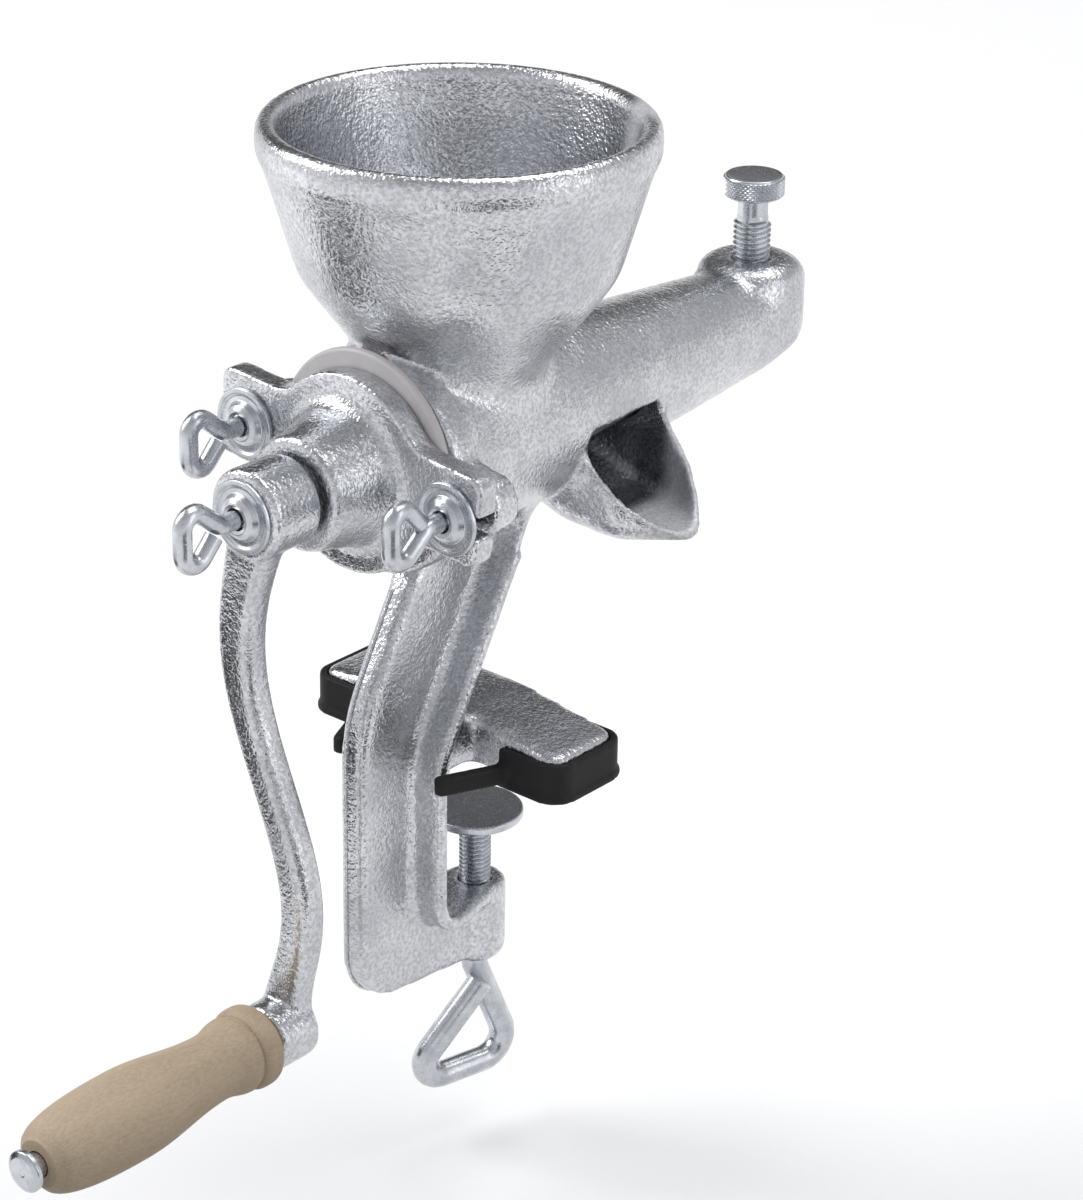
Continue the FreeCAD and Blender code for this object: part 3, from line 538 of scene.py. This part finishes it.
# %% The clamp screw
CLAMP_RADIUS, CLAMP_WIRE, CLAMP_PITCH, CLAMP_APEX = 5.0, 4.1, 1.5, -81.0
CLAMP_EYE_WIDTH, CLAMP_EYE_SHIFT, CLAMP_EYE_BEND = 43.0, -6.5, 8.0
CLAMP_EYE_TURN, CLAMP_EYE_LIFT = 13.0, 6.6
clamp_low, clamp_high = (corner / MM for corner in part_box("clamp_screw"))
clamp_neck = CLAMP_APEX + CLAMP_WIRE
clamp_reach = CLAMP_APEX - clamp_low.z - CLAMP_WIRE
eye = bent_wire("clamp_eye", eye_corners(Z * CLAMP_APEX, -Z, Y, clamp_reach, CLAMP_EYE_WIDTH, CLAMP_EYE_SHIFT,
                                         CLAMP_EYE_BEND, CLAMP_WIRE, CLAMP_EYE_LIFT), CLAMP_WIRE * MM)
shank = turned("clamp_shank", [
    (0, clamp_neck - 1.0, 0),
    (CLAMP_WIRE, clamp_neck - 1.0, 0),
    (CLAMP_WIRE, clamp_neck, 0),
    (CLAMP_RADIUS - 0.75, clamp_neck + 1.0, 0),
    (CLAMP_RADIUS - 0.75, clamp_high.z - 3.4, 0),
    (CLAMP_RADIUS - 0.4, clamp_high.z - 2.8, 0),
    (CLAMP_RADIUS - 0.4, clamp_high.z - 0.6, 0),
    (CLAMP_RADIUS - 1.0, clamp_high.z, 0),
    (0, clamp_high.z, 0),
], Vector((0, 0, 0)), Z, 64)
ridge = wound_thread("clamp_thread", CLAMP_RADIUS, CLAMP_PITCH, clamp_high.z - clamp_neck - 5.5,
                     Z * (clamp_neck + 1.6) * MM, Z)
clamp_screw = joined("clamp_screw_wire", [eye, shank, ridge])
clamp_screw.rotation_euler = (0, 0, math.radians(-CLAMP_EYE_TURN))
select_only(clamp_screw)
bpy.ops.object.transform_apply()
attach(clamp_screw, "clamp_screw")
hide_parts("clamp_screw")
print("clamp screw:", len(clamp_screw.data.polygons), "faces")

# %% [markdown]
# ## Handle and pin
# The grip is turned from beech: a collar with a groove behind it, a slim neck for the fingers, a full
# belly and a flat end. It runs free on a long rivet, whose head stands off the wood and has a small
# centre mark from the lathe. The grip's line is a smooth curve through a few radii, so it is worked out
# from a cosine rise and fall.

# %% The grip
grip_low, grip_high = (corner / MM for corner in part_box("wooden_handle"))
pin_low, pin_high = (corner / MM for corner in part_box("handle_pin"))
pin_axis = Vector(((grip_low.x + grip_high.x) / 2, 0, (grip_low.z + grip_high.z) / 2))
GRIP_BORE, COLLAR_RADIUS, COLLAR_LENGTH, GROOVE_RADIUS = 4.05, 12.7, 8.0, 11.8
NECK_PLACE, GRIP_NECK, BELLY_PLACE, GRIP_BELLY, GRIP_END = 19.0, 10.2, 53.0, 13.6, 8.2
SWELL_START, END_FLAT = 10.4, 1.2
grip_length = grip_high.y - grip_low.y


def grip_radius(distance):
    """Radius of the grip at a distance from the collar's face, in mm."""
    stops = ((SWELL_START, GROOVE_RADIUS), (NECK_PLACE, GRIP_NECK), (BELLY_PLACE, GRIP_BELLY),
             (grip_length - END_FLAT, GRIP_END))
    for (start, first), (end, last) in zip(stops, stops[1:]):
        if distance <= end:
            break
    share = (distance - start) / (end - start)
    if end > BELLY_PLACE:
        return last + (first - last) * math.sqrt(max(0.0, 1 - share ** 2.6))
    return first + (last - first) * (1 - math.cos(math.pi * share)) / 2


collar = [(GRIP_BORE, 0, 0), (COLLAR_RADIUS, 0, 3.4), (COLLAR_RADIUS, COLLAR_LENGTH, 3.0),
          (GROOVE_RADIUS - 0.9, COLLAR_LENGTH + 0.3, 0.3), (GROOVE_RADIUS - 0.3, COLLAR_LENGTH + 1.4, 0.4)]
swell = [(grip_radius(distance), distance, 0)
         for distance in np.linspace(SWELL_START, grip_length - END_FLAT, 60)]
flat_end = [(GRIP_END - 1.0, grip_length, 0.6), (GRIP_BORE, grip_length, 0), (GRIP_BORE, 0, 0)]
grip_face = Vector((pin_axis.x, grip_high.y, pin_axis.z)) * MM
grip = turned("grip_turned", collar + swell + flat_end, grip_face, -Y)
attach(grip, "grip")
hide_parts("wooden_handle")

# %% The pin
PIN_RADIUS, PIN_HEAD_THICKNESS = 3.75, 2.6
pin_head = (pin_high.x - pin_low.x) / 2
pin_length = pin_high.y - pin_low.y
pin = turned("handle_rivet", [
    (0, 0.35, 0),
    (0.9, 0.3, 0.2),
    (1.3, 0.05, 0.2),
    (pin_head - 1.5, 0, 1.2),
    (pin_head, 1.0, 0.8),
    (pin_head, PIN_HEAD_THICKNESS, 0.3),
    (PIN_RADIUS, PIN_HEAD_THICKNESS, 0.3),
    (PIN_RADIUS, pin_length - 0.4, 0),
    (PIN_RADIUS - 0.4, pin_length, 0),
    (0, pin_length, 0),
], Vector((pin_axis.x, pin_low.y, pin_axis.z)) * MM, Y, 64)
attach(pin, "crank")
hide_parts("handle_pin")
print("grip and pin:", len(grip.data.polygons) + len(pin.data.polygons), "faces")

# %% [markdown]
# ## Seal
# A soft ring between cover and body keeps it tight. It bulges a little where it is squeezed, so its outer
# edge is round. It was pushed in by hand and sits a little high and to the left.

# %% The seal
seal_low, seal_high = (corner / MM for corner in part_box("cover_seal"))
seal_centre = (seal_low + seal_high) / 2
SEAL_OFF, SEAL_SLACK, SEAL_DEPTH, SEAL_ROUND = Vector((-0.8, 0, 0.9)), 0.6, 7.0, 1.2
seal_radius = (seal_high.x - seal_low.x) / 2 - SEAL_SLACK
seal_width = seal_high.y - seal_low.y
seal = turned("seal_ring", [
    (seal_radius - SEAL_DEPTH, 0, 0),
    (seal_radius, 0, SEAL_ROUND),
    (seal_radius, seal_width, SEAL_ROUND),
    (seal_radius - SEAL_DEPTH, seal_width, 0),
    (seal_radius - SEAL_DEPTH, 0, 0),
], (Vector((seal_centre.x, seal_low.y, seal_centre.z)) + SEAL_OFF) * MM, Y, 128)
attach(seal, "mill")
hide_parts("cover_seal")
print("seal radius in mm:", round(seal_radius, 2))

# %% [markdown]
# ## Materials
# Each finish is worked out from the place on the object, so it has no seam and no picture. A small class
# wraps a node socket: sums and products of wrapped sockets add Math nodes, and one method adds any other
# node.

# %% A socket that can be reckoned with
class Wire:
    def __init__(self, socket):
        self.socket = socket

    def node(self, kind, settings=None, inputs=None, output=0):
        """Adds a node of the given kind to the same tree and returns one of its outputs."""
        tree = self.socket.id_data
        added = tree.nodes.new(kind)
        for name, value in (settings or {}).items():
            setattr(added, name, value)
        for name, value in (inputs or {}).items():
            if isinstance(value, Wire):
                tree.links.new(value.socket, added.inputs[name])
            else:
                added.inputs[name].default_value = value
        return Wire(added.outputs[output])

    def math(self, operation, first, second):
        return self.node("ShaderNodeMath", {"operation": operation}, {0: first, 1: second})

    def __add__(self, other):
        return self.math("ADD", self, other)

    def __radd__(self, other):
        return self.math("ADD", other, self)

    def __sub__(self, other):
        return self.math("SUBTRACT", self, other)

    def __rsub__(self, other):
        return self.math("SUBTRACT", other, self)

    def __mul__(self, other):
        return self.math("MULTIPLY", self, other)

    def __rmul__(self, other):
        return self.math("MULTIPLY", other, self)

    def noise(self, scale, detail=2.0, roughness=0.5):
        """Noise between 0 and 1 on this vector, with the given number of spots per metre."""
        return self.node("ShaderNodeTexNoise", {}, {"Vector": self, "Scale": scale, "Detail": detail,
                                                     "Roughness": roughness})

    def between(self, low, high):
        """This value stretched so that low becomes 0 and high becomes 1, and cut off there."""
        return self.node("ShaderNodeMapRange", {"interpolation_type": "SMOOTHSTEP"},
                         {"Value": self, "From Min": low, "From Max": high})

    def blend(self, first, second):
        """Colour that goes from the first to the second as this value goes from 0 to 1."""
        colours = [value if isinstance(value, Wire) else (*value, 1) for value in (first, second)]
        return self.node("ShaderNodeMix", {"data_type": "RGBA"}, {0: self, 6: colours[0], 7: colours[1]}, 2)

    def stretched(self, scale, place=(0, 0, 0)):
        """This vector with each direction scaled, measured from the given place."""
        return self.node("ShaderNodeMapping", {"vector_type": "POINT"}, {
            "Vector": self, "Scale": scale, "Location": [-a * b for a, b in zip(place, scale)]})

    def feeds(self, shader, name):
        self.socket.id_data.links.new(self.socket, shader.inputs[name])


def new_material(name, **constants):
    """A material, its shader and the place on the object."""
    material = bpy.data.materials.new(name)
    material.use_nodes = True
    shader = material.node_tree.nodes["Principled BSDF"]
    for socket, value in constants.items():
        shader.inputs[socket.replace("_", " ")].default_value = value
    coordinates = material.node_tree.nodes.new("ShaderNodeTexCoord")
    return material, shader, Wire(coordinates.outputs["Object"])


def bumped(shader, height, distance, strength=1.0):
    """Raises the surface by the height, which runs from 0 to 1, times the distance in mm."""
    inputs = {"Height": height, "Distance": distance * MM, "Strength": strength}
    height.node("ShaderNodeBump", {}, inputs).feeds(shader, "Normal")


def wear(piece, material):
    piece.data.materials.clear()
    piece.data.materials.append(material)


print("socket class ready")

# %% [markdown]
# ### Tinned iron
# Sand leaves a pebbled skin, and the tin that covers it is bright but never even: it lies thick and dull
# in patches, leaves small dark pits and shines on the high spots. Grains of two sizes and slow swells
# raise the surface. The spout has lost some of its shine in use.

# %% Tinned iron
tin, tin_shader, place = new_material("tinned_iron")
pebbles = place.noise(680, 1.5, 0.5)
grit = place.noise(1300, 1.0, 0.5)
swells = place.noise(70, 1.5, 0.5)
patches = place.noise(38, 3.0, 0.6).between(0.38, 0.66)
grains = place.noise(820, 2.0, 0.6).between(0.34, 0.64)
bumped(tin_shader, pebbles * 0.6 + grit * 0.35 + swells * 1.1, 0.45)
tone = patches.blend((0.68, 0.69, 0.715), (0.54, 0.55, 0.575))
tone = grains.blend(patches.blend((0.47, 0.477, 0.495), (0.44, 0.447, 0.465)), tone)
east, north, up = (place.node("ShaderNodeSeparateXYZ", {}, {"Vector": place}, axis) for axis in "XYZ")

# The spout, and the bore's lower half behind it, each with a soft edge. The bore's lower half is painted
# shade: its colour is made near black because the inside of the barrel lies in deep shadow.
in_spout = east.between(22 * MM, 30 * MM) * north.between(24 * MM, 34 * MM)
strainer_low, strainer_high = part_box("strainer")
bore, barrel_axis = (strainer_high.x - strainer_low.x) / 2 + 1.0 * MM, (strainer_high.z + strainer_low.z) / 2
drop = up - barrel_axis
painted_bore_shade = (east * east + drop * drop).between(bore ** 2 * 1.1, bore ** 2) * drop.between(0, -6 * MM)
painted_bore_shade = painted_bore_shade * north.between(15 * MM, 20 * MM) * north.between(60 * MM, 56 * MM)
# Painted shade: the bore's lower half is coloured near black, where the barrel's inside is in shadow.
painted_bore_shade.blend(tone, (0.10, 0.10, 0.105)).feeds(tin_shader, "Base Color")
(1.0 - in_spout * 0.7).feeds(tin_shader, "Metallic")
(0.23 + patches * 0.08 - grains * 0.06 + in_spout * 0.2).feeds(tin_shader, "Roughness")
for piece in (body, parting, cover, crank):
    wear(piece, tin)

# %% [markdown]
# ### Plated steel
# Screws, washers and the pin are zinc plated: smoother and a little bluer than the tin, with faint marks
# of handling.

# %% Plated steel
zinc, zinc_shader, place = new_material("zinc_plate", Metallic=1.0)
cloud = place.noise(160, 3.0, 0.6)
scuffs = place.noise(1300, 2.0, 0.6).between(0.55, 0.75)
bumped(zinc_shader, place.noise(420, 2.0) * 0.7 + place.noise(2200, 1.0) * 0.3, 0.12, 0.5)
cloud.between(0.35, 0.65).blend((0.60, 0.62, 0.65), (0.48, 0.50, 0.53)).feeds(zinc_shader, "Base Color")
(0.22 + cloud * 0.10 + scuffs * 0.14).feeds(zinc_shader, "Roughness")
zinc_pieces = [regulator, clamp_screw, pin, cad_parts["clamp_pad"]]
zinc_pieces += [bpy.data.objects[holder + part] for holder, _, _ in PLACES
                for part in ("_screw_wire", "_washer_pressed")]
for piece in zinc_pieces:
    wear(piece, zinc)

# %% [markdown]
# ### Inside the barrel
# The auger is tinned like the body, but its flight is scoured smooth by use. The strainer and the thrust
# washer are stainless sheet with fine rolling marks along the barrel, and the sheet's colour is darkened as
# painted shade, since it lies deep inside the barrel.

# %% Auger, strainer and thrust washer
scoured, scoured_shader, place = new_material("scoured_tin", Metallic=1.0)
smears = place.stretched((1, 0.3, 1)).noise(220, 3.0, 0.6)
bumped(scoured_shader, place.noise(500, 2.0), 0.25, 0.4)
smears.between(0.3, 0.7).blend((0.78, 0.78, 0.78), (0.60, 0.60, 0.61)).feeds(scoured_shader, "Base Color")
(0.22 + smears * 0.2).feeds(scoured_shader, "Roughness")
wear(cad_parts["auger"], scoured)

sheet, sheet_shader, place = new_material("stainless_sheet", Metallic=1.0)
rolling = place.stretched((1, 0.02, 1)).noise(3000, 2.0, 0.6)
bumped(sheet_shader, rolling, 0.03, 0.5)
# The rolling marks are real. The sheet's dark tone is partly painted shade for the barrel's dim inside.
rolling.blend((0.46, 0.47, 0.48), (0.34, 0.35, 0.36)).feeds(sheet_shader, "Base Color")
(0.26 + rolling * 0.14).feeds(sheet_shader, "Roughness")
for node in ("strainer", "thrust_washer"):
    wear(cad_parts[node], sheet)

# %% [markdown]
# ### Beech
# The grain runs along the grip. Beech is pale and even, with short dark flecks and faint wide bands, and
# the wood is only sanded, so it is dull.

# %% Beech
beech, beech_shader, place = new_material("sanded_beech", Specular_IOR_Level=0.35)
axis_place = pin_axis * MM
along = place.stretched((1, 0.05, 1), axis_place)
fibres = along.noise(900, 3.0, 0.65)
bands = place.stretched((1, 0.12, 1), axis_place).noise(110, 2.0, 0.5).between(0.3, 0.7)
dashes = place.stretched((1, 0.10, 1), axis_place).noise(1100, 1.0, 0.5).between(0.66, 0.74)
tone = bands.blend((0.50, 0.40, 0.29), (0.42, 0.335, 0.24))
tone = (fibres.between(0.3, 0.75) * 0.4).blend(tone, (0.42, 0.325, 0.22))
speckle = place.stretched((1, 0.35, 1), axis_place).noise(1500, 2.0, 0.6).between(0.35, 0.65)
tone = (speckle * 0.35).blend(tone, (0.62, 0.49, 0.34))
(dashes * 0.22).blend(tone, (0.31, 0.22, 0.135)).feeds(beech_shader, "Base Color")
(0.52 + fibres * 0.2).feeds(beech_shader, "Roughness")
bumped(beech_shader, fibres * 0.6 - dashes * 0.4, 0.10, 0.5)
wear(grip, beech)

# %% [markdown]
# ### Rubber
# The boots are black moulded rubber with a fine matt grain and a little dust. The seal is pale and satin.

# %% Rubber
rubber, rubber_shader, place = new_material("black_rubber", Specular_IOR_Level=0.3)
grain = place.noise(1800, 2.0, 0.6)
dust = place.noise(90, 4.0, 0.65).between(0.5, 0.8)
dust.blend((0.009, 0.009, 0.010), (0.018, 0.018, 0.020)).feeds(rubber_shader, "Base Color")
(0.52 + grain * 0.2).feeds(rubber_shader, "Roughness")
bumped(rubber_shader, grain, 0.06, 0.5)
for side in ("left", "right"):
    wear(bpy.data.objects[side + "_boot_rubber"], rubber)

pale, pale_shader, place = new_material("seal_rubber", Specular_IOR_Level=0.45)
mottle = place.noise(240, 3.0, 0.6)
mottle.blend((0.62, 0.60, 0.61), (0.53, 0.51, 0.52)).feeds(pale_shader, "Base Color")
(0.34 + mottle * 0.16).feeds(pale_shader, "Roughness")
bumped(pale_shader, place.noise(1500, 1.0), 0.03, 0.5)
wear(seal, pale)
print("materials:", [material.name for material in bpy.data.materials if material.users])

# %% [markdown]
# ## Studio
# The press hangs over a plain pale floor, which lies just below the lowest place of the clamp screw. The
# floor is wide enough to be the whole background, and the bare metal mirrors the same white floor that
# the camera sees. The room is white at the horizon, and above it is only light: bright on one side, dim
# on the other, with three soft lamps. In a photo studio bright metal gets its dark streaks from black
# flags just outside the picture, so two stand here. The camera's rays pass them, so that they don't hide
# the press from another side, and they throw no shadow.

# %% Floor
WHITE_RAYS = ("Is Camera Ray", "Is Glossy Ray", "Is Transmission Ray")


def white_rays(wire):
    """1 for the rays that are to see the white studio, and 0 for the diffuse ones that light the press."""
    camera, glossy, transmitted = (wire.node("ShaderNodeLightPath", {}, {}, ray) for ray in WHITE_RAYS)
    return (camera + glossy + transmitted).between(0.0, 1.0)


bpy.ops.object.select_all(action="DESELECT")
CLAMP_TRAVEL, FLOOR_SIZE = 18.0, 60
floor_level = frame_low.z - (CLAMP_TRAVEL + 1.0) * MM
bpy.ops.mesh.primitive_plane_add(size=FLOOR_SIZE, location=(0, 0, floor_level))
floor = bpy.context.active_object
floor.name = "studio_floor"
paper, paper_shader, place = new_material("studio_paper", Roughness=0.9, Specular_IOR_Level=0.1,
                                          Emission_Strength=1.0)
seen = white_rays(place)
white = place.noise(30, 2.0).blend((0.95, 0.95, 0.95), (0.93, 0.93, 0.935))
away = place.node("ShaderNodeVectorMath", {"operation": "LENGTH"}, {0: place}, "Value")
seen.blend((0.25, 0.25, 0.25), white).feeds(paper_shader, "Base Color")
glow = away.between(0.2, 1.4) * 0.09 + away.between(0.6, 3.0) * 0.40 + 0.03
(seen * glow).feeds(paper_shader, "Emission Color")
wear(floor, paper)
print("floor level in mm:", round(floor_level / MM, 1))

# %% Flags
cloth, cloth_shader, place = new_material("flag_cloth", Roughness=0.9, Specular_IOR_Level=0.1)
place.noise(400, 2.0).blend((0.02, 0.02, 0.021), (0.035, 0.035, 0.036)).feeds(cloth_shader, "Base Color")


def standing_flag(name, azimuth, distance, width, low, high):
    """A black flag that faces the press, between two heights in metres, seen only by mirrored rays."""
    bpy.ops.object.select_all(action="DESELECT")
    way = math.radians(azimuth)
    middle = (distance * math.cos(way), distance * math.sin(way), (low + high) / 2)
    bpy.ops.mesh.primitive_plane_add(size=1, location=middle, rotation=(0, math.radians(90), way))
    flag = bpy.context.active_object
    flag.name = name
    flag.scale = (high - low, width, 1)
    flag.visible_camera = flag.visible_diffuse = flag.visible_shadow = False
    wear(flag, cloth)
    return flag


flags = [
    standing_flag("front_flag", -30, 0.45, 0.34, floor_level, floor_level + 0.15),
    standing_flag("left_flag", -131, 0.30, 0.22, floor_level, floor_level + 0.13),
]

# %% Lamps
def soft_lamp(name, spot, target, width, height, radiance):
    """A soft box of the given size and brightness, turned towards the target."""
    bpy.ops.object.select_all(action="DESELECT")
    turn = (Vector(target) - Vector(spot)).to_track_quat("-Z", "Y").to_euler()
    bpy.ops.object.light_add(type="AREA", location=spot, rotation=turn)
    lamp = bpy.context.active_object
    lamp.name = name
    lamp.data.shape = "RECTANGLE"
    lamp.data.size, lamp.data.size_y = width, height
    lamp.data.energy = radiance * math.pi * width * height
    return lamp


heart = (0, 0, 0.06)
lamps = [
    soft_lamp("key_lamp", (-1.25, -0.75, 1.15), heart, 0.8, 1.4, 5.4),
    soft_lamp("top_lamp", (0.1, 0.5, 1.6), heart, 1.4, 1.0, 3.0),
    soft_lamp("right_lamp", (1.55, 0.35, 0.6), heart, 0.5, 1.3, 1.2),
]
print("studio:", [thing.name for thing in (*flags, *lamps)])

# %% Room
BRIGHT_SIDE = math.radians(-22)
DIM_EDGE, OVERHEAD, HORIZON = (-0.85, -0.1), (0.45, 0.95), (0.22, 0.15)
room = bpy.data.worlds.new("studio_room")
bpy.context.scene.world = room
room.use_nodes = True
background = room.node_tree.nodes["Background"]
direction = Wire(room.node_tree.nodes.new("ShaderNodeTexCoord").outputs["Generated"])
east, north, height = (direction.node("ShaderNodeSeparateXYZ", {}, {"Vector": direction}, axis)
                       for axis in "XYZ")
to_bright_side = east * math.cos(BRIGHT_SIDE) + north * math.sin(BRIGHT_SIDE)
walls = to_bright_side.between(*DIM_EDGE).blend((0.07, 0.072, 0.076), (0.66, 0.67, 0.70))
above = height.between(*OVERHEAD).blend(walls, (0.42, 0.42, 0.425))
height.between(*HORIZON).blend(above, (0.95, 0.95, 0.955)).feeds(background, "Color")

# %% [markdown]
# ## Camera
# The camera stands where the photograph was taken from, found by fitting the rim, the washers, the boots
# and the leg. Its lens is long, so the forms are seen with little perspective.

# %% Camera
CAMERA_PLACE = Vector((0.641, -0.727, 0.493))
AZIMUTH, ELEVATION, ROLL, LENS = 40.25, 24.78, 0.92, 106.1
bpy.ops.object.select_all(action="DESELECT")
bpy.ops.object.camera_add()
camera = bpy.context.active_object
camera.name = "photo_camera"
turns = ((AZIMUTH, "Z"), (90 - ELEVATION, "X"), (ROLL, "Z"))
aim = Matrix.Identity(4)
for degrees, axis in turns:
    aim = aim @ Matrix.Rotation(math.radians(degrees), 4, axis)
camera.matrix_world = Matrix.Translation(CAMERA_PLACE) @ aim
camera.data.lens = LENS
bpy.context.scene.camera = camera
bpy.context.scene.view_settings.view_transform = "Standard"
print("camera lens in mm:", LENS)
